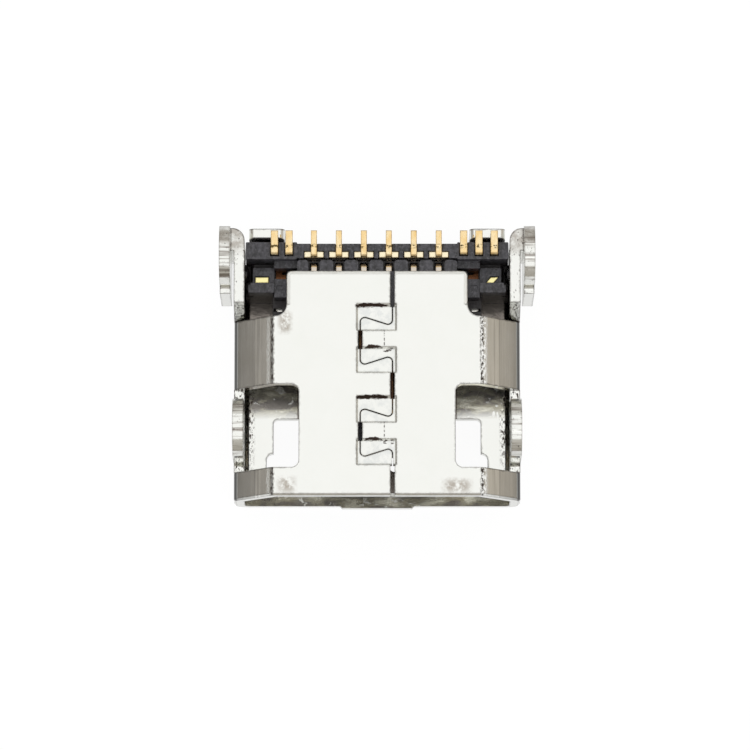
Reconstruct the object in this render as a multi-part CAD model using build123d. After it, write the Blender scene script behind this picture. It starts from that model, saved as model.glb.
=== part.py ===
from build123d import *
import math
import os

# Charging port connector: a folded sheet metal shell, two black mouldings and eleven contacts.
# Millimetres. X runs across the port, Y from the mouth to the solder tails, and Z up from the
# outer face of the wide wall, on which the loose part lies, to the legs that go through the board.
# A depth is a distance behind the mouth, along Y.

# Shell: strip and section
sheet = 0.28
shell_width = 7.49
shell_height = 2.41
face_width = 5.48
side_height = 1.33
floor_bend_outer = 0.42
floor_bend_inner = 0.14
side_bend_outer = 0.36
side_bend_inner = 0.10
face_bend_outer = 0.24
face_bend_inner = 0.04
lip_chamfer = 0.05

# Shell: lengths of its walls, as depths
slant_depth = 4.72
seam_face_depth = 5.91
seam_face_rear_width = 4.72
rear_corner_round = 0.14
rear_fillet = 0.30
rollover_run = 0.10
rollover_fall = 0.035
floor_depth = 6.25
stub_width = 1.84
stub_reach = 0.05

# Shell: seam, dovetails and coined pads
seam_x = 0.40
seam_gap = 0.11
hairline = 0.03
dovetail_depths = (1.65, 4.07)
dovetail_reach = 0.84
dovetail_root = 0.78
dovetail_end = 1.32
dovetail_round = 0.12
pad_width = 1.04
pad_length = 0.63
pad_spacing = 1.11
pad_offset = -0.016
pad_lag = 0.02
coin_depth = 0.07
coin_side_slope = 0.03
coin_rear_slopes = (0.06, 0.09, 0.06, 0.10)

# Shell: side windows and legs
side_leg_depth = 1.72
leg_pitch = 4.55
leg_width = 1.54
leg_tip_height = 3.40
leg_foot_round = 0.10
shoulder_height = 1.34
front_shoulder = 0.21
rear_shoulder = 0.435
window_inner = 2.04
window_round = 0.20

# Shell: rear hems, tabs and dimples
hem_gap = 0.08
hem_end = 0.02
hem_fold = 0.59
hem_shoulder = 0.18
hem_foot = 0.35
hem_top = 2.30
hem_slope_depth = 5.10
tab_inner = 2.42
tab_outer = 3.35
tab_height = 2.10
tab_depth = 6.80
tab_bend = 0.12
tab_round = 0.16
tab_edge_round = 0.08
dimple_depth = 5.92
dimple_height = 1.62
dimple_radius = 0.42
dimple_rise = 0.13

# Shell: openings in the wide wall
latch_inner = 1.55
latch_outer = 2.73
latch_notch = 2.91
latch_rear = 2.31
latch_step = 1.40
latch_front = 0.62
latch_round = 0.12
finger_x = 0.78
finger_width = 0.62
finger_root = 2.95
finger_tip = 1.05
finger_slot = 0.14
finger_drop = 0.16
finger_bend = 1.30
finger_rise = 2.67
finger_round = 0.14

# Mouldings
mould_gap = 0.02
parting_height = 1.44
tongue_low = 1.14
tongue_high = 1.74
tongue_width = 3.70
tongue_front = 1.15
tongue_nose = 0.10
side_clearance = 0.035
body_front = 4.62
core_half = 2.74
flank_front = 5.40
body_rear = 6.685
comb_bar_rear = 6.645
end_tooth = 0.315
comb_top = 2.30
tooth_top = 2.22
tooth_round = 0.09
tooth_gap = 0.03
slot_floor = 1.80
end_block_front = 6.235
low_step_top = 2.02
low_step_front = 6.04
mould_round = 0.03

# Contacts
strip_thickness = 0.15
strip_bend = 0.13
slot_gap = 0.02
blade_proud = 0.02
tail_width = 0.155
tail_end = 6.975
tail_top = 2.43
middle_pitch = 0.652
middle_offset = -0.02
middle_count = 6
middle_blade_width = 0.24
middle_blade_tip = 2.25
stem_rise_start = 4.75
stem_rise_end = 5.05
middle_stem_height = 1.90
valley_run = 0.18
valley_slope = 0.08
valley_height = 1.56
middle_shoulder_width = 0.50
middle_shoulder_low = 1.75
middle_shoulder_top = 2.28
middle_riser_depth = 6.36
outer_pitch = 0.65
outer_blade_width = 0.38
outer_blade_tip = 1.40
outer_lane_width = 0.20
outer_riser_depth = 6.41
outer_tail_width = 0.19
outer_tails = (-2.68, -2.30, 2.26, 2.66, 3.06)
outer_lanes = (5.10, 5.36, 5.62, 5.36, 5.10)
outer_runs = (-2.58, -2.22, 2.02, 2.30, 2.58)
outer_jogs = ((5.98, 6.14), (5.98, 6.14), (5.98, 6.14), (5.74, 5.98), (5.42, 5.80))
ear_front = 5.70
ear_rear = 5.845
ear_top = 1.77
left_ear = (-3.185, -2.845, -2.845, -3.185)
right_ear = (2.857, 3.045, 3.175, 2.985)
landing_sides = (-1, 0, 0, 1, 0)
landing_front = 5.82
landing_rear = 6.00

# Mouldings: comb, steps and pockets
comb_slot = 0.29
groove_share = 0.75
low_step_outer = 2.69
step_rear = 5.66
step_outer = 3.37
ear_block_outer = 3.25
ear_block_rear = 6.09
ear_block_top = 1.80
inner_block_front = 5.28
inner_block_rear = 5.77
inner_block_top = 1.95
recess_inner = 2.39
recess_outer = 2.66
lane_window_inner = 2.49
lane_window_outer = 2.71
lane_window_front = 4.99
lane_window_rear = 5.07
mark_inner = 2.43
mark_outer = 2.63
mark_front = 5.48
mark_rear = 5.60
mark_fall = 0.025
mark_round = 0.04

# Sizes that follow from the ones above
leg_tip_round = leg_width / 2 - 0.01
window_front = side_leg_depth - leg_width / 2 - front_shoulder
window_rear = side_leg_depth + leg_width / 2 + rear_shoulder
leg_rear = side_leg_depth + leg_pitch + leg_width / 2
hem_front = leg_rear - leg_width - hem_shoulder
hem_reach = leg_rear + hem_end
hem_slot_rear = hem_reach - hem_fold
fold_line = side_height - side_bend_outer / 2
rear_reach = tab_depth + sheet
hem_slack = 0.005
far = 12.0
overrun = 0.30
mouth_y = (stub_reach - rear_reach) / 2
half_width = shell_width / 2
half_inside = half_width - sheet
body_half = half_inside - side_clearance
comb_half = (middle_count - 1) / 2 * middle_pitch + comb_slot / 2 + end_tooth
comb_bar_front = middle_riser_depth - strip_thickness / 2 - slot_gap
valley_floor = middle_riser_depth - valley_run
valley_front = valley_floor - valley_slope


def outline(points, radii):
    """Flat face inside a closed outline, with one rounding for all corners or one for each."""
    return make_face(FilletPolyline(*points, radius=radii, close=True))


def rectangle(left, right, front, rear, radii=0):
    """Flat rectangle from its limits, with rounded corners if asked."""
    return outline([(left, front), (right, front), (right, rear), (left, rear)], radii)


def strip(points, width, inner_radius, outer_radius):
    """Outline of a strip of even width along a centre line, with the two radii of its bends."""
    line = [Vector(*point) for point in points]
    ways = [(after - before).normalized() for before, after in zip(line, line[1:])]
    sides = [Vector(-way.Y, way.X) for way in ways]
    left = []
    right = []
    left_radii = []
    right_radii = []
    for point, before, after in zip(line, sides[:1] + sides, sides + sides[-1:]):
        mitre = (before + after) * (width / 2 / (1 + before.dot(after)))
        turn = before.cross(after).Z
        left.append(point + mitre)
        right.append(point - mitre)
        left_radii.append(outer_radius if turn < 0 else inner_radius if turn > 0 else 0)
        right_radii.append(outer_radius if turn > 0 else inner_radius if turn < 0 else 0)
    return outline(left + right[::-1], left_radii + right_radii[::-1])


def lengthwise(sketch, start, stop):
    """Solid of a section drawn in X and Z, between two depths."""
    plane = Plane((0, mouth_y + stop, 0), x_dir=(1, 0, 0), z_dir=(0, -1, 0))
    return extrude(plane * sketch, amount=stop - start)


def upright(sketch, low, high):
    """Solid of a plan drawn in X and depth, between two heights."""
    return extrude(Pos(0, mouth_y, low) * sketch, amount=high - low)


def crosswise(sketch, left, right):
    """Solid of a side view drawn in depth and Z, between two places across."""
    plane = Plane((left, mouth_y, 0), x_dir=(0, 1, 0), z_dir=(1, 0, 0))
    return extrude(plane * sketch, amount=right - left)


def both_sides(solid):
    """The solid together with its mirror image across the middle of the port."""
    return solid + mirror(solid, about=Plane.YZ)


def section(inset, floor_round, side_round, face_round):
    """Cross-section of the shell's outer form, moved inwards by a distance."""
    run = (shell_width - face_width) / 2
    slant = math.atan2(shell_height - side_height, run)
    half = half_width - inset
    side = side_height - inset * math.tan((math.pi / 2 - slant) / 2)
    face = face_width / 2 - inset * math.tan(slant / 2)
    top = shell_height - inset
    points = [(-half, inset), (half, inset), (half, side), (face, top), (-face, top), (-half, side)]
    radii = [floor_round, floor_round, side_round, face_round, face_round, side_round]
    return outline(points, radii)


def folded_tube():
    """The strip folded round into a tube, with its outer lip broken at the mouth."""
    outer = section(0, floor_bend_outer, side_bend_outer, face_bend_outer)
    inner = section(sheet, floor_bend_inner, side_bend_inner, face_bend_inner)
    tube = lengthwise(outer - inner, 0, floor_depth)
    mouth = tube.faces().sort_by(Axis.Y)[0]
    return chamfer(mouth.outer_wire().edges(), lip_chamfer)


def rear_trim():
    """What is cut off above the fold line, behind the slanted walls and the seam face."""
    rear_half = seam_face_rear_width / 2
    kept_points = [
        (-far, -far), (far, -far), (far, slant_depth), (rear_half, slant_depth),
        (rear_half, seam_face_depth), (-rear_half, seam_face_depth),
        (-rear_half, slant_depth), (-far, slant_depth),
    ]
    kept_radii = [0, 0, 0, rear_fillet, rear_corner_round, rear_corner_round, rear_fillet, 0]
    kept = outline(kept_points, kept_radii)
    return upright(rectangle(-far, far, -far, far) - kept, fold_line, far)


def edge_rollover():
    """The edge of the seam face's rear part, which the punch drew down a little."""
    rear_half = seam_face_rear_width / 2
    low = shell_height - rollover_fall
    across = [
        (seam_face_depth - rollover_run, shell_height), (seam_face_depth, low),
        (seam_face_depth + overrun, low), (seam_face_depth + overrun, far),
        (seam_face_depth - rollover_run, far),
    ]
    along = [
        (rear_half - rollover_run, shell_height), (rear_half, low), (rear_half + overrun, low),
        (rear_half + overrun, far), (rear_half - rollover_run, far),
    ]
    sides = lengthwise(outline(along, 0), slant_depth + rear_fillet, seam_face_depth)
    return crosswise(outline(across, 0), -far, far) + both_sides(sides)


def side_windows():
    """The openings that the side legs are bent out of."""
    radii = [window_round, 0, 0, window_round]
    plan = rectangle(window_inner, far, window_front, window_rear, radii)
    return both_sides(upright(plan, fold_line, far))


def leg_outline(centre, front, rear, foot, shoulder):
    """Side view of a board leg with a round tip, standing on a shoulder."""
    left = centre - leg_width / 2
    right = centre + leg_width / 2
    tip = leg_tip_height
    points = [
        (front, foot), (rear, foot), (rear, shoulder), (right, shoulder),
        (right, tip), (left, tip), (left, shoulder), (front, shoulder),
    ]
    return outline(points, [0, 0, 0, leg_foot_round, leg_tip_round, leg_tip_round, leg_foot_round, 0])


def side_legs():
    """Two legs that carry the side walls straight up through the board."""
    foot = fold_line - overrun
    profile = leg_outline(side_leg_depth, window_front, window_rear, foot, shoulder_height)
    return both_sides(crosswise(profile, half_inside, half_width))


def rear_hem():
    """The right side wall's rear, folded back outwards on itself, with the rear leg on it."""
    inner_face = half_width + hem_gap
    outer_face = inner_face + sheet
    fold = sheet + hem_gap / 2 - hem_slack
    slot = hem_gap / 2 - hem_slack
    plan_points = [
        (half_inside, slant_depth), (half_inside, hem_reach), (outer_face, hem_reach),
        (outer_face, hem_front), (inner_face, hem_front), (inner_face, hem_slot_rear),
        (half_width, hem_slot_rear), (half_width, slant_depth),
    ]
    plan = outline(plan_points, [0, fold, fold, 0, 0, slot, slot, 0])
    walls = upright(plan, hem_foot, hem_top)
    slope_points = [
        (slant_depth - overrun, side_height), (slant_depth, side_height),
        (hem_slope_depth, hem_top), (hem_slope_depth, far), (slant_depth - overrun, far),
    ]
    walls -= crosswise(outline(slope_points, 0), 0, half_width + hem_gap / 2)
    foot = hem_top - overrun
    leg_depth = side_leg_depth + leg_pitch
    profile = leg_outline(leg_depth, hem_front, leg_rear + overrun, foot, hem_top)
    profile -= rectangle(hem_reach - fold, far, -far, hem_top)
    profile -= rectangle(leg_rear, far, -far, far)
    return walls + crosswise(profile, inner_face, outer_face)


def dimple():
    """The bump pressed into the right side wall, which holds the mouldings."""
    centre = (half_inside - dimple_rise + dimple_radius, mouth_y + dimple_depth, dimple_height)
    wall = Box(sheet + dimple_rise, far, far, align=(Align.MAX, Align.CENTER, Align.CENTER))
    return (Pos(centre) * Sphere(dimple_radius)) & (Pos(half_width, 0, 0) * wall)


def rear_tab():
    """The right tab of the wide wall, bent up behind the mouldings."""
    rear = tab_depth + sheet
    points = [
        (floor_depth - overrun, 0), (rear, 0), (rear, tab_height), (tab_depth, tab_height),
        (tab_depth, sheet), (floor_depth - overrun, sheet),
    ]
    profile = outline(points, [0, tab_bend + sheet, 0, tab_edge_round, tab_bend, 0])
    face = rectangle(tab_inner, tab_outer, -overrun, tab_height, [0, 0, tab_round, tab_round])
    return crosswise(profile, tab_inner, tab_outer) & lengthwise(face, 0, rear + overrun)


def latch_window():
    """The right opening in the wide wall that a plug's latch drops into."""
    points = [
        (latch_inner, latch_front), (latch_notch, latch_front), (latch_notch, latch_step),
        (latch_outer, latch_step), (latch_outer, latch_rear), (latch_inner, latch_rear),
    ]
    radii = [latch_round, latch_round, latch_notch - latch_outer - hem_slack, 0, latch_round, latch_round]
    return upright(outline(points, radii), -overrun, sheet + overrun)


def finger_slot_cut():
    """The slot round the right contact finger."""
    half = finger_width / 2 + finger_slot
    front = finger_tip - finger_slot
    plan = rectangle(finger_x - half, finger_x + half, front, finger_root, latch_round)
    return upright(plan, -overrun, sheet + overrun)


def contact_finger():
    """The right springy finger of the wide wall, which presses on a plug's shell."""
    middle = sheet / 2
    raised = middle + finger_drop
    line = [
        (finger_root + overrun, middle), (finger_rise, middle), (finger_bend, raised),
        (finger_tip, raised - finger_drop / 2),
    ]
    profile = strip(line, sheet, finger_round, finger_round + sheet)
    return crosswise(profile, finger_x - finger_width / 2, finger_x + finger_width / 2)


def seam_ribbon(width):
    """Plan of the cut between the two ends of the strip, with both dovetails."""
    end = seam_x - dovetail_reach
    line = [(seam_x, -overrun)]
    for centre in sorted(dovetail_depths):
        line += [
            (seam_x, centre - dovetail_root / 2), (end, centre - dovetail_end / 2),
            (end, centre + dovetail_end / 2), (seam_x, centre + dovetail_root / 2),
        ]
    line.append((seam_x, seam_face_depth + overrun))
    return strip(line, width, dovetail_round - width / 2, dovetail_round + width / 2)


def pad_centres():
    """Depth of the middle of each coined pad."""
    steps = (-pad_spacing / 2, pad_spacing / 2)
    return [centre + pad_lag + step for centre in dovetail_depths for step in steps]


def seam_cut():
    """The seam's gap, which closes to a hairline where the pads are coined."""
    low = shell_height - sheet - overrun
    high = shell_height + overrun
    left = pad_offset - pad_width / 2
    gap = upright(seam_ribbon(seam_gap), low, high)
    for centre in pad_centres():
        front = centre - pad_length / 2
        gap -= upright(rectangle(left, left + pad_width, front, front + pad_length), low, high)
    return gap + upright(seam_ribbon(hairline), low, high)


def coined_pads():
    """The shallow pads pressed into the seam face over the dovetails' corners."""
    left = pad_offset - pad_width / 2
    right = left + pad_width
    pads = Part()
    for centre, slope in zip(pad_centres(), coin_rear_slopes):
        front = centre - pad_length / 2
        rear = front + pad_length
        side = coin_side_slope
        floor = rectangle(left + side, right - side, front + side, rear)
        rim = rectangle(left, right, front, rear + slope)
        low = Pos(0, mouth_y, shell_height - coin_depth) * floor
        high = Pos(0, mouth_y, shell_height) * rim
        pads += loft([low.face(), high.face()], ruled=True)
    return pads


def make_shell():
    """The whole shell: one folded strip of sheet metal."""
    stub_points = [
        (-stub_width / 2 - stub_reach, 0), (-stub_width / 2, -stub_reach),
        (stub_width / 2, -stub_reach), (stub_width / 2 + stub_reach, 0),
        (stub_width / 2, overrun), (-stub_width / 2, overrun),
    ]
    shell = folded_tube() - rear_trim() - side_windows() - edge_rollover()
    shell += side_legs() + both_sides(rear_hem()) + both_sides(dimple()) + both_sides(rear_tab())
    shell += upright(outline(stub_points, 0), 0, sheet)
    shell -= both_sides(latch_window() + finger_slot_cut())
    shell += both_sides(contact_finger())
    shell -= coined_pads()
    shell -= seam_cut()
    return shell


def middle_places():
    """Where the six middle contacts lie across the port."""
    first = middle_offset - (middle_count - 1) / 2 * middle_pitch
    return [first + index * middle_pitch for index in range(middle_count)]


def middle_contact_line():
    """Centre line of a middle contact, from its tip on the tongue to its solder tail."""
    blade = tongue_high + blade_proud - strip_thickness / 2
    tail = tail_top - strip_thickness / 2
    return [
        (middle_blade_tip, blade), (stem_rise_start, blade), (stem_rise_end, middle_stem_height),
        (valley_front, middle_stem_height), (valley_floor, valley_height),
        (middle_riser_depth, valley_height), (middle_riser_depth, tail), (tail_end, tail),
    ]


def middle_contact(x, grow=0):
    """One of the six narrow contacts on the upper face of the tongue, or its pocket."""
    bend = 0 if grow else strip_bend
    profile = strip(middle_contact_line(), strip_thickness + 2 * grow, 0, bend)
    half = middle_shoulder_width / 2 + grow
    whole = crosswise(profile, x - half, x + half)
    blade = middle_blade_width / 2 + grow
    stem = tail_width / 2 + grow
    plan = rectangle(x - blade, x + blade, middle_blade_tip - grow, stem_rise_start)
    plan += rectangle(x - stem, x + stem, stem_rise_start - overrun, tail_end + grow)
    keep = upright(plan, 0, far)
    reach = strip_thickness / 2 + grow
    bar = rectangle(x - half, x + half, middle_riser_depth - reach, middle_riser_depth + reach)
    keep += upright(bar, middle_shoulder_low - grow, middle_shoulder_top + grow)
    return whole & keep


def ear(index, top, grow=0):
    """The upright ear of an outermost strip, cut square on the left and askew on the right."""
    front_left, front_right, rear_right, rear_left = right_ear if index else left_ear
    front = ear_front - grow
    rear = ear_rear + grow
    points = [
        (front_left - grow, front), (front_right + grow, front),
        (rear_right + grow, rear), (rear_left - grow, rear),
    ]
    return upright(outline(points, 0), tongue_low - blade_proud, top)


def outer_plan(index, grow):
    """Plan of an outer contact: its blade, its lane to the side, and its run to the rear."""
    blade_x = (index - (len(outer_tails) - 1) / 2) * outer_pitch
    run_x = outer_runs[index]
    lane = outer_lanes[index]
    run_end, jog_end = outer_jogs[index]
    tail_x = outer_tails[index]
    line = [
        (blade_x, outer_blade_tip + overrun), (blade_x, lane), (run_x, lane), (run_x, run_end),
        (tail_x, jog_end), (tail_x, outer_riser_depth - strip_thickness / 2),
    ]
    half = outer_blade_width / 2 + grow
    bend = 0 if grow else strip_bend
    plan = strip(line, outer_lane_width + 2 * grow, 0, bend)
    plan += rectangle(blade_x - half, blade_x + half, outer_blade_tip - grow, body_front)
    side = landing_sides[index]
    if side:
        middle = side * (recess_inner + recess_outer) / 2
        half = (recess_outer - recess_inner) / 2 + grow
        plan += rectangle(middle - half, middle + half, landing_front - grow, landing_rear + grow)
    if index == 0:
        wing = rectangle(left_ear[0] - grow, run_x, ear_front - grow, ear_rear + grow)
        plan += wing
    return plan


def outer_contact(index, grow=0):
    """One of the five wide contacts under the tongue, with its tail and ear, or its pocket."""
    low = tongue_low - blade_proud - grow
    high = low + strip_thickness + 2 * grow
    middle = (low + high) / 2
    tail_x = outer_tails[index]
    tail = tail_top - strip_thickness / 2
    riser_front = outer_riser_depth - strip_thickness
    riser_line = [
        (riser_front, middle), (outer_riser_depth, middle), (outer_riser_depth, tail), (tail_end, tail),
    ]
    bend = 0 if grow else strip_bend
    riser = strip(riser_line, strip_thickness + 2 * grow, 0, bend)
    half = outer_tail_width / 2 + grow
    contact = upright(outer_plan(index, grow), low, high)
    contact += crosswise(riser, tail_x - half, tail_x + half)
    if index in (0, len(outer_tails) - 1):
        contact += ear(index, ear_top, grow)
    return contact


def mould_section():
    """Cross-section of the mouldings where they fill the shell."""
    return section(sheet + mould_gap, floor_bend_inner, side_bend_inner, face_bend_inner)


def tongue_plan():
    """Plan of the tongue, which is half in one moulding and half in the other."""
    half = tongue_width / 2
    nose = [tongue_nose, tongue_nose, 0, 0]
    return rectangle(-half, half, tongue_front, body_front + overrun, nose)


def strip_windows():
    """The openings over the right side's strips: a recess and a small one at a lane's corner."""
    recess = rectangle(recess_inner, recess_outer, inner_block_rear, low_step_front)
    corner = rectangle(lane_window_inner, lane_window_outer, lane_window_front, lane_window_rear)
    return upright(recess + corner, tongue_low, far)


def make_tongue_moulding():
    """The lower moulding, with the lower half of the tongue and the main row's strips."""
    body = lengthwise(mould_section(), body_front, body_rear)
    body -= upright(rectangle(-far, far, -far, far), parting_height, far)
    body -= both_sides(upright(rectangle(core_half, far, -far, flank_front), -overrun, far))
    body += upright(tongue_plan(), tongue_low, parting_height)
    for index in range(len(outer_tails)):
        body -= outer_contact(index, slot_gap)
    body -= both_sides(dimple_groove() + strip_windows())
    return body


def dimple_groove():
    """The groove in the right side of the mouldings that lets the shell's dimple in."""
    half = dimple_radius * groove_share
    inner = half_inside - dimple_rise - mould_gap
    plan = rectangle(inner, far, dimple_depth - half, dimple_depth + half)
    return upright(plan, dimple_height - dimple_radius, far)


def comb():
    """The comb that the six middle contacts stand in."""
    front = seam_face_depth + mould_gap
    base = rectangle(-comb_half, comb_half, front, comb_bar_rear)
    bar = rectangle(-comb_half, comb_half, comb_bar_front, comb_bar_rear)
    whole = upright(base, parting_height, slot_floor) + upright(bar, parting_height, comb_top)
    places = middle_places()
    lefts = [-comb_half] + [x + comb_slot / 2 for x in places]
    rights = [x - comb_slot / 2 for x in places] + [comb_half]
    for left, right in zip(lefts, rights):
        radii = [0, 0, tooth_round, tooth_round]
        tooth = rectangle(left, right, front, comb_bar_front - tooth_gap, radii)
        whole += upright(tooth, parting_height, tooth_top)
    pocket_half = middle_shoulder_width / 2 + slot_gap
    reach = strip_thickness / 2 + slot_gap
    for x in places:
        rear = middle_riser_depth + reach
        pocket = rectangle(x - pocket_half, x + pocket_half, middle_riser_depth - reach, rear)
        whole -= upright(pocket, middle_shoulder_low - slot_gap, far)
    return whole


def side_block(left, right, front, rear, top):
    """A step of the right side of the rear moulding, standing on the parting face."""
    return upright(rectangle(left, right, front, rear, mould_round), parting_height, top)


def right_side_steps():
    """The stepped blocks beside the seam face's rear end."""
    outer = low_step_outer
    rear = end_block_front + overrun
    steps = side_block(comb_half, body_half, end_block_front, body_rear, comb_top)
    steps += side_block(comb_half, outer, low_step_front, rear, low_step_top)
    steps += side_block(outer, step_outer, flank_front, step_rear, low_step_top)
    steps += side_block(outer, ear_block_outer, flank_front, ear_block_rear, ear_block_top)
    steps += side_block(comb_half, outer, inner_block_front, inner_block_rear, inner_block_top)
    mark = rectangle(mark_inner, mark_outer, mark_front, mark_rear, mark_round)
    return steps - upright(mark, inner_block_top - mark_fall, far)


def make_rear_moulding():
    """The upper moulding: upper half of the tongue, block, comb, end blocks and pockets."""
    half = seam_face_rear_width / 2 - mould_gap
    top = shell_height - sheet - mould_gap
    plan = rectangle(-half, half, body_front, seam_face_depth + 2 * mould_gap)
    body = upright(plan, parting_height, top)
    body += upright(tongue_plan(), parting_height, tongue_high)
    body += comb() + both_sides(right_side_steps())
    for index in (0, len(outer_tails) - 1):
        body -= ear(index, far, slot_gap)
    return body


def write_parts():
    """Build every piece and write it to its own file."""
    os.makedirs("parts", exist_ok=True)
    pieces = {"shell": make_shell()}
    pieces["tongue_moulding"] = make_tongue_moulding()
    rear_moulding = make_rear_moulding()
    for number, x in enumerate(middle_places(), 1):
        pieces[f"middle_contact_{number}"] = middle_contact(x)
        pieces["tongue_moulding"] -= middle_contact(x, slot_gap)
        rear_moulding -= middle_contact(x, slot_gap)
    for index in range(len(outer_tails)):
        pieces[f"outer_contact_{index + 1}"] = outer_contact(index)
        rear_moulding -= outer_contact(index, slot_gap)
    rear_moulding -= both_sides(dimple_groove())
    pieces["rear_moulding"] = rear_moulding
    for name, piece in pieces.items():
        export_step(piece, f"parts/{name}.step")


write_parts()
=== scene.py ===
from collections import namedtuple
import math

import bpy
from bpy.props import FloatProperty, FloatVectorProperty, PointerProperty, StringProperty
from mathutils import Matrix, Vector


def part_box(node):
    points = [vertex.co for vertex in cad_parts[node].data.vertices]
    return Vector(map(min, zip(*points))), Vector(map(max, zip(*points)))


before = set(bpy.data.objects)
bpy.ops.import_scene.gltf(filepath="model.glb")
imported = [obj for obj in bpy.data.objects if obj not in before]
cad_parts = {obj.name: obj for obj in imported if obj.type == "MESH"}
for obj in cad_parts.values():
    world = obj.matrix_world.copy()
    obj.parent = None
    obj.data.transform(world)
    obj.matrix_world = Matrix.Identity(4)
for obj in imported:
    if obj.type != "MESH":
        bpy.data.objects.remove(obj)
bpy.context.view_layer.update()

bl_info = {
    "name": "Charging port connector",
    "version": (1, 0, 0),
    "blender": (4, 5, 0),
    "location": "3D View > Sidebar > Charging port",
    "description": "Finishes for a folded metal charging port, and its studio",
    "category": "Object",
}

MM = 0.001
MOULDINGS = ("tongue_moulding", "rear_moulding")
CONTACTS = sorted(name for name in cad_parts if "contact" in name)

# Where a point lies on the port in millimetres: across it, negative to the left, to either side of its
# middle, behind its mouth, and above the outer face of its wide wall
Place = namedtuple("Place", "across side depth height")

# How far the wide wall's stub stands out of the mouth, and where that puts the mouth along Y
STUB_REACH = 0.05
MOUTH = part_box("shell")[0].y / MM + STUB_REACH

# Depths of the side windows' ends and of the slanted walls' rear end
WINDOW_FRONT = 0.735
WINDOW_REAR = 2.93
SLANT_END = 4.745

# Sides of the fold between the seam face and a slanted wall, and of the side walls' inner faces
FOLD_SIDE = 2.70
WALL_SIDE = 3.45

# Each smudge on the seam face: its left and right end, how soft they are, its front and its rear end
SMUDGES = ((-2.55, -2.15, 0.2, 0.1, 0.45), (1.75, 2.4, 0.25, 0.1, 0.4), (-2.55, -2.25, 0.15, 4.3, 4.8))

# Painted shade and painted reflection on the slanted walls: how bright their plating is painted, from the
# inner fold of a slanted wall, 0, to the outer one, 1
SLANT_SHADE_TONES = ((0.0, 0.45), (0.035, 0.35), (0.09, 0.95), (0.455, 0.88), (0.47, 0.74), (0.75, 0.68),
                 (0.9, 0.52), (0.935, 0.12), (0.985, 0.04), (1.0, 0.1))

# The band of painted shade behind each coined pad, where its rear step falls: its depth, its left and right
# end, and how much it thins towards them
PAD_SHADE_BANDS = ((1.47, -0.36, 0.16, 0.10), (2.57, -0.55, 0.28, 0.035),
             (3.89, -0.36, 0.16, 0.10), (4.99, -0.57, 0.28, 0.035))
PAD_SHADE_THICKNESS = 0.07
PAD_SHADE_RAGGEDNESS = 0.16

# Depths of the dark specks and of the broken line behind the front pad of each dovetail
SPECK_DEPTHS = (1.43, 3.85)
LINE_DEPTHS = (1.52, 3.92)
LINE_LENGTH = 0.42

# The power that makes a studio card's glow paler at its top, a painted light from above
CARD_LIFT = 0.45

# How far the floor lies below the port, in millimetres, so that their faces don't meet
FLOOR_GAP = 0.002


def linear(hex_colour):
    """Turn an sRGB hex colour into the linear colour that a shader takes."""
    channels = [int(hex_colour[i:i + 2], 16) / 255 for i in (1, 3, 5)]
    return [c / 12.92 if c <= 0.04045 else ((c + 0.055) / 1.055) ** 2.4 for c in channels] + [1.0]


def add(tree, kind, inputs=(), **settings):
    """Add one shader node, with its settings and what its sockets take.

    The inputs are a dictionary of socket names, or a tuple in the order of the sockets in use. Each is
    a number, a vector, an sRGB hex colour, a socket, or a node, whose first output in use is meant.
    """
    node = tree.nodes.new("ShaderNode" + kind)
    for name, value in settings.items():
        setattr(node, name, value)
    if isinstance(inputs, dict):
        pairs = [(node.inputs[name], value) for name, value in inputs.items()]
    else:
        pairs = zip([socket for socket in node.inputs if socket.enabled], inputs)
    for socket, value in pairs:
        if isinstance(value, bpy.types.Node):
            value = next(output for output in value.outputs if output.enabled)
        if isinstance(value, bpy.types.NodeSocket):
            tree.links.new(value, socket)
        else:
            socket.default_value = linear(value) if isinstance(value, str) else value
    row, column = divmod(len(tree.nodes), 12)
    node.location = (200 * column, -260 * row)
    return node


def new_material(name):
    """Make an empty material, and give its node tree too."""
    material = bpy.data.materials.new(name)
    material.use_nodes = True
    material.node_tree.nodes.clear()
    return material, material.node_tree


def every(tree, *masks):
    """Where all the masks are one. A number among them scales the result."""
    result = masks[0]
    for mask in masks[1:]:
        result = add(tree, "Math", (result, mask), operation="MULTIPLY")
    return result


def any_of(tree, *masks):
    """Where at least one of the masks is one."""
    result = masks[0]
    for mask in masks[1:]:
        result = add(tree, "Math", (result, mask), operation="MAXIMUM")
    return result


def band(tree, value, low, high, soft=0.02):
    """One between low and high and nothing outside, over a soft border."""
    past_middle = add(tree, "Math", (value, (low + high) / 2), operation="SUBTRACT")
    away = add(tree, "Math", (past_middle,), operation="ABSOLUTE")
    return add(tree, "MapRange", (away, (high - low + soft) / 2, (high - low - soft) / 2))


def noise(tree, sizes, detail=3.0, roughness=0.6, distortion=0.0):
    """Cloudy noise whose blobs have the given sizes in millimetres along X, Y and Z."""
    place = add(tree, "TexCoord").outputs["Object"]
    scaled = add(tree, "Mapping", {"Vector": place, "Scale": [1 / (size * MM) for size in sizes]})
    return add(tree, "TexNoise", {"Vector": scaled, "Scale": 1.0, "Detail": detail, "Roughness": roughness,
                                  "Distortion": distortion})


def port_place(tree):
    """Where the shaded point lies on the port."""
    scaled = add(tree, "VectorMath", (add(tree, "TexCoord").outputs["Object"], 1 / MM), operation="SCALE")
    axes = add(tree, "SeparateXYZ", (scaled,))
    across = axes.outputs["X"]
    side = add(tree, "Math", (across,), operation="ABSOLUTE")
    depth = add(tree, "Math", (axes.outputs["Y"], MOUTH), operation="SUBTRACT")
    return Place(across, side, depth, axes.outputs["Z"])


def facing_up(tree):
    """How far a face looks up: 1 straight up, 0 sideways."""
    normal = add(tree, "NewGeometry").outputs["Normal"]
    return add(tree, "SeparateXYZ", (normal,)).outputs["Z"]


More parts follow.
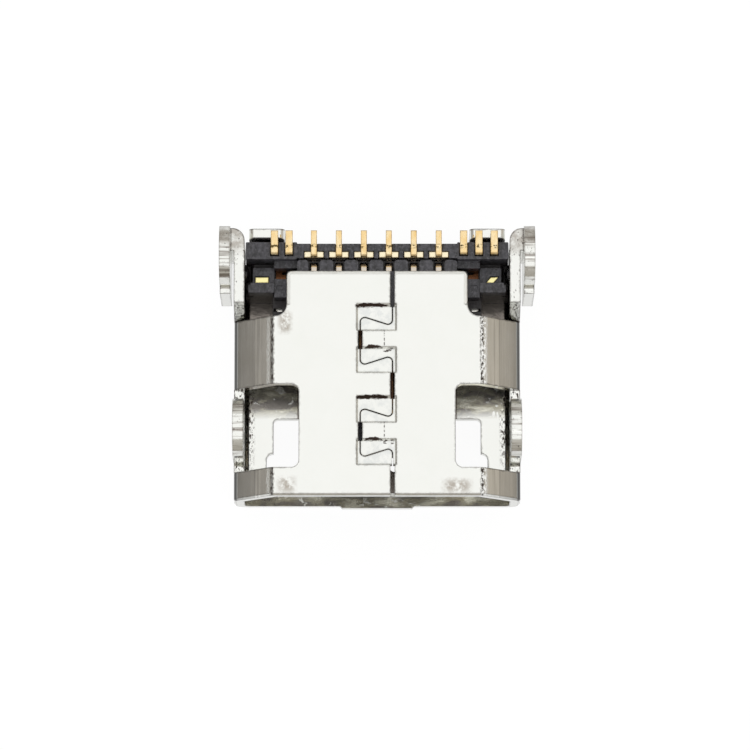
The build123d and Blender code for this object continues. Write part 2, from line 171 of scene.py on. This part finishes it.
def rounded_edges_and_shade(tree, radius, dirt_and_shade):
    """A rounded normal for sharp edges, and where the uneven line of painted shade along them is.

    The painted shade begins where a wider rounding turns the face by 10 degrees, and is full where it turns
    it by 24.
    """
    wander = noise(tree, (0.12, 0.12, 0.12), 4.0, 0.7)
    rounded = add(tree, "Bevel", {"Radius": radius}, samples=6)
    width = add(tree, "MapRange", (wander, 0.3, 0.7, 0.3 * dirt_and_shade, 1.5 * dirt_and_shade))
    wide = add(tree, "Bevel", {"Radius": width}, samples=6)
    flat = add(tree, "NewGeometry").outputs["Normal"]
    match = add(tree, "VectorMath", (wide, flat), operation="DOT_PRODUCT")
    return rounded, add(tree, "MapRange", (match, 0.985, 0.91))


def slanted_walls(tree, at, facing):
    """Where the slanted walls are, and the painted shade and painted reflection on their plating.

    The plating is painted dark along the outer fold and pale near the inner one.
    Lines run along it, mostly in the inner half, with one groove among them. Real lines are too fine to
    show, so these are drawn 0.07 mm wide.
    """
    beside_window = add(tree, "Math", (1.0, band(tree, at.depth, WINDOW_FRONT, WINDOW_REAR)),
                        operation="SUBTRACT")
    zone = every(tree, band(tree, at.side, FOLD_SIDE, 3.85),
                 add(tree, "MapRange", (at.depth, SLANT_END + 0.01, SLANT_END - 0.01)), beside_window,
                 add(tree, "MapRange", (at.height, 0.95, 1.0)), add(tree, "MapRange", (facing, 0.02, 0.1)))
    # Painted shade and painted reflection: dark along the outer fold, pale near the inner one
    fold_shade = add(tree, "ValToRGB", (add(tree, "MapRange", (at.side, FOLD_SIDE, 3.75)),))
    ramp = fold_shade.color_ramp.elements
    for reach, tone in SLANT_SHADE_TONES[1:-1]:
        ramp.new(reach)
    for stop, (reach, tone) in zip(ramp, SLANT_SHADE_TONES):
        stop.position = reach
        stop.color = (tone, tone, tone, 1)
    lines = noise(tree, (0.07, 3.0, 1.0), 3.0, 0.65)
    amount = add(tree, "MapRange", (band(tree, at.side, 3.0, 3.2, 0.1), 0.0, 1.0, 0.4, 1.2))
    centred = add(tree, "Math", (lines, 0.5), operation="SUBTRACT")
    shift = add(tree, "Math", (centred, amount, 1.0), operation="MULTIPLY_ADD")
    groove = add(tree, "MapRange", (band(tree, at.side, 3.18, 3.195), 0.0, 1.0, 1.0, 0.75))
    return zone, every(tree, fold_shade, shift, groove)


def shaded_pad_steps(tree, at):
    """Ragged bands of painted shade behind the four coined pads of the seam, where their rear steps fall,
    and thin ones between the pads.

    Each band is thickest in its middle, and those behind the front pad of a dovetail end in dark specks.
    """
    ragged = noise(tree, (0.14, 0.05, 0.1), 4.0, 0.75)
    centred = add(tree, "Math", (ragged, 0.5), operation="SUBTRACT")
    edge = add(tree, "Math", (centred, PAD_SHADE_RAGGEDNESS, at.depth), operation="MULTIPLY_ADD")
    pad_shade = []
    # Painted shade: a ragged dark band where each pad's rear step falls
    for start, left, right, arch in PAD_SHADE_BANDS:
        # Along the burr, from -1 at its left end to 1 at its right end
        reach = add(tree, "Math", (at.across, 2 / (right - left), (left + right) / (left - right)),
                    operation="MULTIPLY_ADD")
        squared = add(tree, "Math", (reach, reach), operation="MULTIPLY")
        thick = add(tree, "Math", (squared, -arch, PAD_SHADE_THICKNESS), operation="MULTIPLY_ADD")
        past = add(tree, "Math", (edge, start), operation="SUBTRACT")
        within = add(tree, "Math", (thick, past), operation="SUBTRACT")
        pad_shade.append(every(tree, add(tree, "MapRange", (within, -0.01, 0.01)),
                           add(tree, "MapRange", (past, -0.04, -0.02)),
                           band(tree, at.across, left, right, 0.04)))
    dark_specks = every(tree, band(tree, at.across, 0.16, 0.44, 0.03),
                   add(tree, "MapRange", (ragged, 0.53, 0.57)))
    for start in SPECK_DEPTHS:
        pad_shade.append(every(tree, dark_specks, band(tree, at.depth, start - 0.08, start + 0.03)))
    line = every(tree, band(tree, at.across, 0.175, 0.20), add(tree, "MapRange", (ragged, 0.45, 0.52)))
    for start in LINE_DEPTHS:
        pad_shade.append(every(tree, line, band(tree, at.depth, start, start + LINE_LENGTH)))
    return any_of(tree, *pad_shade)


def paint_hollow_reflections(tree, looks, at, floor, patches, colour):
    """Paint reflections on the hollow's floor over its plain colour, and say where they are patchy.

    The painted reflections are patchy by the mouth and behind the windows' rear edge, and a painted shade
    makes the floor dark below the seam face and behind the slanted walls.
    """
    stretches = noise(tree, (0.7, 0.25, 0.7), 3.0, 0.5, 0.4)
    olive = add(tree, "MapRange", (stretches, 0.40, 0.48))
    pale = add(tree, "MapRange", (stretches, 0.53, 0.60))
    bright = add(tree, "MapRange", (patches, 0.60, 0.64))
    # Painted reflections: dark, olive, pale and bright patches on the hollow's floor
    patchy = add(tree, "Mix", (olive, looks.hollow_painted_dark, looks.hollow_painted_olive), data_type="RGBA")
    patchy = add(tree, "Mix", (pale, patchy, looks.hollow_painted_pale), data_type="RGBA")
    patchy = add(tree, "Mix", (bright, patchy, looks.plating), data_type="RGBA")
    mouth = every(tree, floor, add(tree, "MapRange", (at.depth, 0.28, 0.20)))
    windows = every(tree, floor, band(tree, at.side, 1.9, 3.5), band(tree, at.depth, 2.45, 4.75, 0.3))
    painted_reflections = any_of(tree, mouth, windows)
    colour = add(tree, "Mix", (every(tree, painted_reflections, 0.75), colour, patchy), data_type="RGBA")
    # Painted shade: the floor darkened below the seam face and behind the slanted walls
    below_seam = every(tree, add(tree, "MapRange", (at.side, 2.11, 2.09)), band(tree, at.depth, 0.34, 4.7))
    behind_walls = every(tree, band(tree, at.side, 2.6, 4.0), add(tree, "MapRange", (at.depth, 4.74, 4.76)))
    shaded = every(tree, floor, any_of(tree, below_seam, behind_walls), 0.85)
    return add(tree, "Mix", (shaded, colour, looks.hollow_painted_dark), data_type="RGBA"), painted_reflections


def nickel_plating(looks):
    """Bright nickel plating on steel sheet that was stamped and then folded.

    Almost a mirror, clean on the flat faces, with grey finger smudges by the mouth's corners and behind
    the left window. Thin dark lines of painted shade follow all edges unevenly, and ragged bands of
    painted shade lie behind the coined pads. The slanted walls carry painted shade and painted
    reflection, dark along the outer fold and pale near the inner one. The sheared edges are torn and
    pitted, white flakes stand along the right-hand fold, and the metal inside the hollow carries painted
    reflections in brown and yellow and painted shade, as what it mirrors is dark.
    """
    material, tree = new_material("bright_nickel_on_stamped_steel")
    at = port_place(tree)
    facing = facing_up(tree)
    cloud = noise(tree, (0.8, 0.8, 0.8), 5.0)
    smudge = noise(tree, (0.22, 0.22, 0.22), 5.0, 0.65)
    patches = noise(tree, (0.3, 0.24, 0.3), 4.0, 0.65, 0.8)
    pits = noise(tree, (0.05, 0.10, 0.08), 3.0, 0.7)

    # Clean flat faces with smudges, and the coined pads, greyer in patches
    colour = add(tree, "Mix", (cloud, looks.plating_dull, looks.plating), data_type="RGBA")
    places = [every(tree, band(tree, at.across, left, right, soft), band(tree, at.depth, front, rear, 0.2))
              for left, right, soft, front, rear in SMUDGES]
    smudged = every(tree, any_of(tree, *places), add(tree, "MapRange", (smudge, 0.38, 0.56)))
    colour = add(tree, "Mix", (smudged, colour, looks.smudge), data_type="RGBA")
    coined = every(tree, band(tree, at.height, 2.29, 2.38), band(tree, at.across, -0.56, 0.53))
    greyer = every(tree, coined, add(tree, "MapRange", (smudge, 0.45, 0.60, 0.0, 0.5)))
    colour = add(tree, "Mix", (greyer, colour, looks.coined), data_type="RGBA")

    # The slanted walls with their painted shade and painted reflection, and the floor of the hollow with
    # its painted reflections and painted shade
    slanted, tone = slanted_walls(tree, at, facing)
    colour = add(tree, "Mix", (slanted, colour, tone), data_type="RGBA", blend_type="MULTIPLY")
    floor = every(tree, add(tree, "MapRange", (facing, 0.3, 0.5)),
                  add(tree, "MapRange", (at.height, 0.55, 0.45)))
    colour, painted_reflections = paint_hollow_reflections(tree, looks, at, floor, patches, colour)

    # The legs and hems, dull towards the rear, and the mottled tabs behind the plastic
    wall_sheet = add(tree, "MapRange", (at.side, WALL_SIDE - 0.01, WALL_SIDE + 0.01))
    legs = every(tree, add(tree, "MapRange", (at.height, 2.2, 2.25)),
                 add(tree, "MapRange", (facing, 0.2, 0.4)), wall_sheet)
    rear_legs = every(tree, legs, add(tree, "MapRange", (at.depth, 6.3, 6.6)))
    tabs = add(tree, "MapRange", (at.depth, 7.05, 7.1))
    dull = every(tree, any_of(tree, rear_legs, tabs), add(tree, "MapRange", (smudge, 0.35, 0.6, 0.2, 1.0)))
    colour = add(tree, "Mix", (dull, colour, looks.dull_leg), data_type="RGBA")

    # The legs' tips: lines through the sheet's thickness, where the punch sheared it
    lines = add(tree, "MapRange", (noise(tree, (2.0, 0.10, 2.0), 3.0, 0.6), 0.50, 0.62, 0.0, 0.8))
    tips = every(tree, legs, add(tree, "MapRange", (at.height, 2.40, 2.45)), lines)
    colour = add(tree, "Mix", (tips, colour, looks.sheared_line), data_type="RGBA")

    # Sheared edges of the side walls, and the creased folds beside the seam face. The white flakes on
    # the right-hand fold mirror nothing.
    unslanted = add(tree, "Math", (1.0, slanted), operation="SUBTRACT")
    sheared = every(tree, add(tree, "MapRange", (facing, 0.22, 0.34)), wall_sheet,
                    band(tree, at.height, 0.6, 2.2), unslanted)
    creased = every(tree, band(tree, at.side, 2.68, 2.87, 0.06),
                    add(tree, "MapRange", (at.depth, SLANT_END + 0.01, SLANT_END - 0.01)),
                    add(tree, "MapRange", (facing, 0.4, 0.5)), add(tree, "MapRange", (at.height, 1.9, 2.0)))
    flaked = every(tree, creased, band(tree, at.across, 2.70, 2.84, 0.04),
                   add(tree, "MapRange", (pits, 0.53, 0.47)))
    colour = add(tree, "Mix", (flaked, colour, looks.plating), data_type="RGBA")
    bare = add(tree, "Math", (1.0, flaked), operation="SUBTRACT")

    # Dirt in the pits, and painted shade behind the pads and along the edges, with less of the edge shade
    # on the pads and on the legs' tips
    leg_pits = every(tree, legs, add(tree, "MapRange", (pits, 0.63, 0.68)))
    torn = every(tree, sheared, add(tree, "MapRange", (pits, 0.54, 0.60)))
    fold_pits = every(tree, creased, band(tree, at.side, 2.66, 2.77, 0.06),
                      add(tree, "MapRange", (pits, 0.48, 0.56)))
    flecks = every(tree, floor, band(tree, at.side, 3.25, 3.5, 0.1), band(tree, at.depth, 1.2, 3.4, 1.0),
                   add(tree, "MapRange", (pits, 0.50, 0.56)))
    pad_shade = every(tree, shaded_pad_steps(tree, at), add(tree, "MapRange", (at.height, 2.25, 2.3)))
    normal, edge_shade_mask = rounded_edges_and_shade(tree, looks.edge_radius, looks.edge_shade_width)
    outline = every(tree, edge_shade_mask, add(tree, "MapRange", (smudge, 0.35, 0.6, 0.5, 0.9)),
                    add(tree, "MapRange", (coined, 0.0, 1.0, 1.0, 0.2)),
                    add(tree, "MapRange", (at.height, 2.40, 2.45, 1.0, 0.35)))
    dirt_and_shade = any_of(tree, leg_pits, torn, fold_pits, pad_shade, outline, flecks)
    colour = add(tree, "Mix", (dirt_and_shade, colour, looks.pit_dirt_and_shade), data_type="RGBA")

    # Waves everywhere, deeper ones on the hollow's floor, and tears where the sheet was sheared or creased
    normal = add(tree, "Bump", {"Height": cloud, "Distance": looks.wave_depth, "Strength": 1.0,
                                "Normal": normal})
    normal = add(tree, "Bump", {"Height": patches, "Distance": 1.5 * looks.wave_depth, "Strength": floor,
                                "Normal": normal})
    rough_parts = any_of(tree, every(tree, sheared, 0.4), creased, every(tree, legs, 0.06))
    normal = add(tree, "Bump", {"Height": pits, "Distance": looks.tear_depth, "Strength": rough_parts,
                                "Normal": normal})
    blur = add(tree, "MapRange", (cloud, 0.3, 0.7, 0.7 * looks.roughness, 1.4 * looks.roughness))
    blur = add(tree, "Math", (painted_reflections, looks.hollow_roughness, blur), operation="MULTIPLY_ADD")
    metal = add(tree, "BsdfPrincipled", {"Base Color": colour, "Metallic": bare, "Roughness": blur,
                                         "Normal": normal})
    add(tree, "OutputMaterial", {"Surface": metal})
    return material


def black_polymer(looks):
    """Liquid crystal polymer, injection moulded, black and filled with glass fibre.

    A dull blue-black with a satin sheen that shows the light from above. The fibre gives a fleck, the
    flow in the mould leaves wavy paler streaks, and the recesses are painted a darker brown, a painted
    shade. Real fibres are too fine to show, so their fleck is drawn at 0.08 mm.
    """
    material, tree = new_material("black_lcp_injection_moulded")
    at = port_place(tree)
    fleck = noise(tree, (0.08, 0.08, 0.08), 3.0, 0.7)
    flow = noise(tree, (0.12, 0.45, 0.2), 4.0, 0.75, 0.8)
    streaks = add(tree, "MapRange", (flow, 0.40, 0.60))
    specks = add(tree, "MapRange", (fleck, 0.48, 0.62, 0.0, 0.7))
    # Painted shade: darker brown below 1.75 mm, in the recesses
    recesses = add(tree, "MapRange", (at.height, 1.75, 1.5, 0.0, 0.7))
    colour = add(tree, "Mix", (streaks, looks.black, looks.black_pale), data_type="RGBA")
    colour = add(tree, "Mix", (specks, colour, looks.fibre), data_type="RGBA")
    colour = add(tree, "Mix", (recesses, colour, looks.recess_shade), data_type="RGBA")
    rounded = add(tree, "Bevel", {"Radius": looks.edge_radius}, samples=4)
    normal = add(tree, "Bump", {"Height": fleck, "Distance": looks.grain, "Strength": 1.0,
                                "Normal": rounded})
    rough = add(tree, "MapRange", (flow, 0.3, 0.7, looks.roughness - 0.1, looks.roughness + 0.1))
    plastic = add(tree, "BsdfPrincipled", {"Base Color": colour, "Roughness": rough, "Normal": normal,
                                           "IOR": 1.6})
    add(tree, "OutputMaterial", {"Surface": plastic})
    return material


def contact_strip(looks):
    """Phosphor bronze strip, stamped, with gold flashed on where it mates and is soldered.

    The tails are a pale yellow gold with small dark dots near the bend, their crossbars are painted
    nearly white as a highlight, the ears are yellower, and the stems behind the seam face are nickel. The
    lanes and the blades' rear parts are bare bronze, painted near-white as a highlight where the lanes
    turn and dark brown as shade inside the shell. Edges are painted darker, a painted shade. Real rolling
    marks are too fine to show, so they are drawn 0.03 mm wide.
    """
    material, tree = new_material("gold_flashed_bronze_strip")
    at = port_place(tree)
    cloud = noise(tree, (0.15, 0.3, 0.15), 4.0)
    tails = add(tree, "MapRange", (at.height, 2.10, 2.14))
    ears = add(tree, "MapRange", (at.side, 2.81, 2.83))
    blades = add(tree, "MapRange", (at.depth, 2.35, 2.25))

    # The gold, painted nearly white on the crossbars as a highlight, and yellower on the ears
    bars = every(tree, band(tree, at.depth, 6.27, 6.45), add(tree, "MapRange", (at.height, 2.24, 2.26)),
                 add(tree, "MapRange", (at.height, 2.36, 2.32)))
    low_ears = every(tree, ears, add(tree, "MapRange", (at.height, 2.0, 1.9)))
    thick = add(tree, "MapRange", (cloud, 0.3, 0.7))
    gold = add(tree, "Mix", (thick, looks.gold_dark, looks.gold), data_type="RGBA")
    gold = add(tree, "Mix", (bars, gold, looks.crossbar_highlight), data_type="RGBA")
    gold = add(tree, "Mix", (low_ears, gold, looks.ear), data_type="RGBA")

    # The strip that has no gold on it
    stems = every(tree, add(tree, "MapRange", (at.height, 1.58, 1.62)),
                  add(tree, "MapRange", (at.depth, 5.5, 5.6)))
    # Painted shade: the strip inside the shell darkened to dark brown
    inside = every(tree, add(tree, "MapRange", (at.side, 2.4, 2.3)),
                   add(tree, "MapRange", (at.depth, 5.4, 5.3)))
    # Painted highlight: near-white where the lanes turn
    corners = every(tree, band(tree, at.side, 2.4, 2.8), band(tree, at.depth, 4.9, 5.15))
    strip = add(tree, "Mix", (stems, looks.bronze, looks.nickel), data_type="RGBA")
    strip = add(tree, "Mix", (inside, strip, looks.inside_shade), data_type="RGBA")
    strip = add(tree, "Mix", (corners, strip, looks.lane_turn_highlight), data_type="RGBA")
    colour = add(tree, "Mix", (any_of(tree, tails, ears, blades), strip, gold), data_type="RGBA")

    # Small dark dots on the tails, and painted shade along the edges
    dots = noise(tree, (0.09, 0.07, 0.09), 3.0, 0.6)
    marks = every(tree, band(tree, at.depth, 6.51, 6.61, 0.05), add(tree, "MapRange", (dots, 0.50, 0.56)),
                  tails)
    colour = add(tree, "Mix", (marks, colour, looks.mark), data_type="RGBA")
    normal, edge_shade_mask = rounded_edges_and_shade(tree, looks.edge_radius, looks.contact_shade_width)
    colour = add(tree, "Mix", (every(tree, edge_shade_mask, 0.75), colour, looks.edge_shade_gold), data_type="RGBA")
    rolled = noise(tree, (0.03, 0.5, 0.03), 2.0)
    normal = add(tree, "Bump", {"Height": rolled, "Distance": looks.scratch, "Strength": 1.0,
                                "Normal": normal})
    normal = add(tree, "Bump", {"Height": cloud, "Distance": 4 * looks.scratch, "Strength": 1.0,
                                "Normal": normal})
    blur = add(tree, "MapRange", (cloud, 0.3, 0.7, 0.7 * looks.roughness, 1.4 * looks.roughness))
    metal = add(tree, "BsdfPrincipled", {"Base Color": colour, "Metallic": 1.0, "Roughness": blur,
                                         "Normal": normal})
    add(tree, "OutputMaterial", {"Surface": metal})
    return material


def dress(names, material):
    """Give CAD nodes their finish, through the slots that they have."""
    for name in names:
        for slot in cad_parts[name].material_slots:
            slot.material = material


def hex_colour(name, description, default):
    """A colour that the user can change."""
    return StringProperty(name=name, description=description + ", as an sRGB hex value", default=default)


def fraction(name, description, default):
    """A value from 0 to 1."""
    return FloatProperty(name=name, description=description, default=default, min=0, max=1)


def length(name, description, millimetres):
    """A length, given in millimetres."""
    return FloatProperty(name=name, description=description, default=millimetres * MM, unit="LENGTH",
                         precision=6)


def point(name, description, millimetres):
    """A point in space, given in millimetres."""
    return FloatVectorProperty(name=name, description=description, subtype="TRANSLATION", precision=6,
                               default=[value * MM for value in millimetres])


class ShellLooks(bpy.types.PropertyGroup):
    plating: hex_colour("Plating", "Bright nickel", "#F8F8F4")
    plating_dull: hex_colour("Dull plating", "Where the plating is thin", "#F2F3ED")
    smudge: hex_colour("Smudge", "Handling marks on the plating", "#B9B2A8")
    # Dirt in the pits, and painted shade along the edges and behind the pads
    pit_dirt_and_shade: hex_colour("Pits", "Dirt along edges, pits and burrs", "#40352F")
    dull_leg: hex_colour("Dull legs", "The legs' rear parts", "#BDB8B0")
    sheared_line: hex_colour("Sheared lines", "Lines across the legs' tips", "#857B72")
    coined: hex_colour("Coined pads", "Patches on the pads", "#DADDDC")
    # Painted reflections on the hollow's floor; the dark one is also its painted shade
    hollow_painted_dark: hex_colour("Dark hollow", "Stained metal in the hollow", "#5A4C42")
    hollow_painted_olive: hex_colour("Olive hollow", "Dull metal by the mouth", "#A69F86")
    hollow_painted_pale: hex_colour("Pale hollow", "Yellowish metal by the mouth", "#EAE6D2")
    roughness: fraction("Roughness", "How blurred reflections are", 0.12)
    # Extra blur where the hollow's reflections are painted
    hollow_roughness: fraction("Stain roughness", "How much more the stained hollow blurs them", 0.13)
    edge_radius: length("Edge radius", "Rounding that edges seem to have", 0.034)
    # Width of the painted shade along edges
    edge_shade_width: length("Dirt width", "Width of the dirt along edges", 0.085)
    wave_depth: length("Waves", "How uneven the plating is", 0.003)
    tear_depth: length("Tears", "How rough the sheared edges are", 0.02)


class MouldingLooks(bpy.types.PropertyGroup):
    black: hex_colour("Black", "The polymer's colour", "#121014")
    black_pale: hex_colour("Flow streaks", "Colour of the flow streaks", "#3E3D43")
    fibre: hex_colour("Fibre", "Colour of the fibre's fleck", "#57555B")
    # Painted shade: the dark brown of the recesses
    recess_shade: hex_colour("Flux", "Brown residue in the recesses", "#241A16")
    roughness: fraction("Roughness", "How dull the polymer is", 0.42)
    grain: length("Grain", "Height of the fibre's fine grain", 0.02)
    edge_radius: length("Edge radius", "Rounding that edges seem to have", 0.02)


class ContactLooks(bpy.types.PropertyGroup):
    gold: hex_colour("Gold", "Gold flash", "#FFEBC0")
    gold_dark: hex_colour("Dark gold", "Where the gold is thin", "#F5D08C")
    # Painted highlight: near-white on the crossbars
    crossbar_highlight: hex_colour("Crossbars", "Thick gold on the crossbars", "#FFF3D2")
    ear: hex_colour("Ears", "Gold on the ears", "#FFF5B4")
    nickel: hex_colour("Nickel", "Nickel on the stems", "#D6CCBE")
    bronze: hex_colour("Bronze", "Bare bronze of the lanes", "#7A5036")
    # Painted shade: the strip inside the shell
    inside_shade: hex_colour("Tarnish", "Bronze inside the shell", "#3A2A22")
    # Painted highlight: near-white where the lanes turn
    lane_turn_highlight: hex_colour("Lane corners", "Bright nickel where the lanes turn", "#FFFDF6")
    # Small dark dots on the tails
    mark: hex_colour("Tool marks", "Small dark marks on the tails", "#5E5030")
    # Painted shade along the strip's edges
    edge_shade_gold: hex_colour("Worn edges", "Where the flash wore off", "#8A6A38")
    roughness: fraction("Roughness", "How blurred reflections are", 0.2)
    scratch: length("Rolling marks", "Depth of the strip's rolling marks", 0.001)
    edge_radius: length("Edge radius", "Rounding that edges seem to have", 0.02)
    # Width of the painted shade along the strip's edges
    contact_shade_width: length("Worn width", "Width of the wear along edges", 0.05)


class StageLooks(bpy.types.PropertyGroup):
    floor: hex_colour("Floor", "The floor's colour", "#F2F2F2")
    floor_glow: fraction("Floor glow", "Share of the floor that shows as plain white", 0.9)
    floor_white: FloatProperty(name="Floor white", description="How bright the floor shows to the camera",
                               default=1.03)
    floor_mirrored: fraction("Mirrored floor", "How bright the floor shows in the metal", 0.8)
    floor_size: length("Floor size", "Length of the floor's side", 26)
    elevation: FloatProperty(name="Elevation", description="The camera's height above the horizon",
                             default=math.radians(81), subtype="ANGLE")
    distance: length("Distance", "From the camera to the point it looks at", 150)
    lens: FloatProperty(name="Lens", description="Focal length in millimetres", default=274.7)
    target: point("Target", "The point that the camera looks at", (-0.055, -0.185, 1.3))
    dome: FloatProperty(name="Dome light", description="Strength of the light all round", default=1.0)
    lamp: FloatProperty(name="Lamp", description="Strength of the soft lamp, as radiance", default=0.15)
    lamp_size: length("Lamp size", "Length of the soft lamp's side", 120)
    lamp_place: point("Lamp place", "Where the soft lamp hangs, in front and to the right", (70, -60, 190))
    card_distance: length("Card distance", "From the port to each studio card", 120)
    card_left: hex_colour("Left card", "Colour at its foot", "#9A958F")
    card_right: hex_colour("Right card", "Colour at its foot", "#BBB3A8")
    card_front: hex_colour("Front card", "Colour at its foot", "#A8A39B")
    card_rear: hex_colour("Rear card", "Colour at its foot", "#C2BFBA")


class PORT_OT_shell(bpy.types.Operator):
    """Finish the folded shell as bright nickel-plated sheet"""
    bl_idname = "port.shell"
    bl_label = "Plated shell"

    def execute(self, context):
        dress(["shell"], nickel_plating(context.scene.port_shell))
        return {"FINISHED"}


class PORT_OT_mouldings(bpy.types.Operator):
    """Finish the two mouldings as black filled polymer"""
    bl_idname = "port.mouldings"
    bl_label = "Black mouldings"

    def execute(self, context):
        dress(MOULDINGS, black_polymer(context.scene.port_mouldings))
        return {"FINISHED"}


class PORT_OT_contacts(bpy.types.Operator):
    """Finish the eleven contacts as plated bronze strip"""
    bl_idname = "port.contacts"
    bl_label = "Plated contacts"

    def execute(self, context):
        dress(CONTACTS, contact_strip(context.scene.port_contacts))
        return {"FINISHED"}


def studio_world(looks):
    """A plain white dome of soft light, the same all round."""
    world = bpy.data.worlds.new("soft_dome")
    world.use_nodes = True
    tree = world.node_tree
    tree.nodes.clear()
    dome = add(tree, "Background", {"Color": (1, 1, 1, 1), "Strength": looks.dome})
    add(tree, "OutputWorld", {"Surface": dome})
    return world


def flat_sheet(name, corners, material):
    """A flat sheet with four corners."""
    mesh = bpy.data.meshes.new(name)
    mesh.from_pydata(corners, [], [(0, 1, 2, 3)])
    mesh.materials.append(material)
    return bpy.data.objects.new(name, mesh)


def studio_card(name, looks, colour, turn, width, height):
    """A glowing card that stands beside the port, for the bright metal to mirror.

    Its glow is painted paler towards its top, as if light from above reached it there. Only reflections
    see it, as a card does that stands outside the picture, so that it takes no light from the port.
    """
    material, tree = new_material(name + "_glowing_card")
    axes = add(tree, "SeparateXYZ", (add(tree, "TexCoord").outputs["Object"],))
    up = add(tree, "MapRange", (axes.outputs["Z"], 0.1 * height, height, 0.0, 0.6))
    pale = [value ** CARD_LIFT for value in linear(colour)]
    glow = add(tree, "Emission", {"Color": add(tree, "Mix", (up, colour, pale), data_type="RGBA")})
    add(tree, "OutputMaterial", {"Surface": glow})
    reach = looks.card_distance
    half = width / 2
    low = -reach / 3
    corners = [(-half, reach, low), (half, reach, low), (half, reach, height), (-half, reach, height)]
    turned = [Matrix.Rotation(turn, 3, "Z") @ Vector(lane_turn_highlight) for lane_turn_highlight in corners]
    card = flat_sheet(name, turned, material)
    card.visible_camera = False
    card.visible_diffuse = False
    card.visible_shadow = False
    return card


def floor_paper(looks):
    """White paper, smooth and matt, which shows as plain white but for a faint shadow.

    Its fibres are too fine to show, so its grain is drawn at 0.3 mm.
    """
    material, tree = new_material("matt_white_paper")
    grain = noise(tree, (0.3, 0.3, 0.3))
    bump = add(tree, "Bump", {"Height": grain, "Distance": 0.002 * MM, "Strength": 0.1})
    paper = add(tree, "BsdfDiffuse", {"Color": looks.floor, "Normal": bump})
    rays = add(tree, "LightPath").outputs
    strength = add(tree, "MapRange", (rays["Is Glossy Ray"], 0.0, 1.0, looks.floor_white,
                                      looks.floor_mirrored))
    white = add(tree, "Emission", {"Color": (1, 1, 1, 1), "Strength": strength})
    seen = any_of(tree, rays["Is Camera Ray"], rays["Is Transmission Ray"], rays["Is Glossy Ray"])
    mix = add(tree, "MixShader", (every(tree, seen, looks.floor_glow), paper, white))
    add(tree, "OutputMaterial", {"Surface": mix})
    return material


def aim(thing, place, target):
    """Put a lamp or a camera at a place and point it at a target."""
    thing.location = place
    thing.rotation_euler = (Vector(target) - Vector(place)).to_track_quat("-Z", "Y").to_euler()


class PORT_OT_stage(bpy.types.Operator):
    """Set the floor, the cards, the soft light and the camera"""
    bl_idname = "port.stage"
    bl_label = "Studio"

    def execute(self, context):
        scene = context.scene
        looks = scene.port_stage
        scene.view_settings.view_transform = "Standard"
        scene.world = studio_world(looks)

        half = looks.floor_size / 2
        low = -FLOOR_GAP * MM
        corners = [(-half, -half, low), (half, -half, low), (half, half, low), (-half, half, low)]
        floor = flat_sheet("floor", corners, floor_paper(looks))
        scene.collection.objects.link(floor)

        # Each card's turn about Z, and its width and height as shares of its distance
        cards = (("card_rear", looks.card_rear, 0, 2.0, 0.9),
                 ("card_left", looks.card_left, math.pi / 2, 2.0, 1.2),
                 ("card_front", looks.card_front, math.pi, 1.2, 0.85),
                 ("card_right", looks.card_right, -math.pi / 2, 2.0, 1.2))
        reach = looks.card_distance
        for name, colour, turn, width, height in cards:
            card = studio_card(name, looks, colour, turn, width * reach, height * reach)
            scene.collection.objects.link(card)

        lamp = bpy.data.lights.new("soft_lamp", "AREA")
        lamp.size = looks.lamp_size
        lamp.energy = looks.lamp * math.pi * lamp.size ** 2
        lamp_object = bpy.data.objects.new("soft_lamp", lamp)
        scene.collection.objects.link(lamp_object)
        aim(lamp_object, looks.lamp_place, looks.target)

        camera = bpy.data.cameras.new("camera")
        camera.lens = looks.lens
        camera.sensor_width = 36
        camera.clip_start = 5 * MM
        camera.clip_end = 2000 * MM
        camera_object = bpy.data.objects.new("camera", camera)
        scene.collection.objects.link(camera_object)
        back = Vector((0, -math.cos(looks.elevation), math.sin(looks.elevation)))
        aim(camera_object, Vector(looks.target) + looks.distance * back, looks.target)
        scene.camera = camera_object
        return {"FINISHED"}


class PORT_PT_panel(bpy.types.Panel):
    bl_idname = "PORT_PT_panel"
    bl_label = "Charging port"
    bl_space_type = "VIEW_3D"
    bl_region_type = "UI"
    bl_category = "Charging port"

    def draw(self, context):
        for group, operator in SECTIONS:
            box = self.layout.box()
            box.operator(operator.bl_idname)
            looks = getattr(context.scene, group)
            for name in looks.__annotations__:
                box.prop(looks, name)


GROUPS = {"port_shell": ShellLooks, "port_mouldings": MouldingLooks, "port_contacts": ContactLooks,
          "port_stage": StageLooks}
SECTIONS = (("port_shell", PORT_OT_shell), ("port_mouldings", PORT_OT_mouldings),
            ("port_contacts", PORT_OT_contacts), ("port_stage", PORT_OT_stage))
CLASSES = (*GROUPS.values(), *(operator for group, operator in SECTIONS), PORT_PT_panel)


def register():
    for cls in CLASSES:
        bpy.utils.register_class(cls)
    for name, group in GROUPS.items():
        setattr(bpy.types.Scene, name, PointerProperty(type=group))


def unregister():
    for name in GROUPS:
        delattr(bpy.types.Scene, name)
    for cls in reversed(CLASSES):
        bpy.utils.unregister_class(cls)


def main():
    """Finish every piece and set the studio."""
    register()
    bpy.ops.port.shell()
    bpy.ops.port.mouldings()
    bpy.ops.port.contacts()
    bpy.ops.port.stage()


if __name__ == "__main__":
    main()
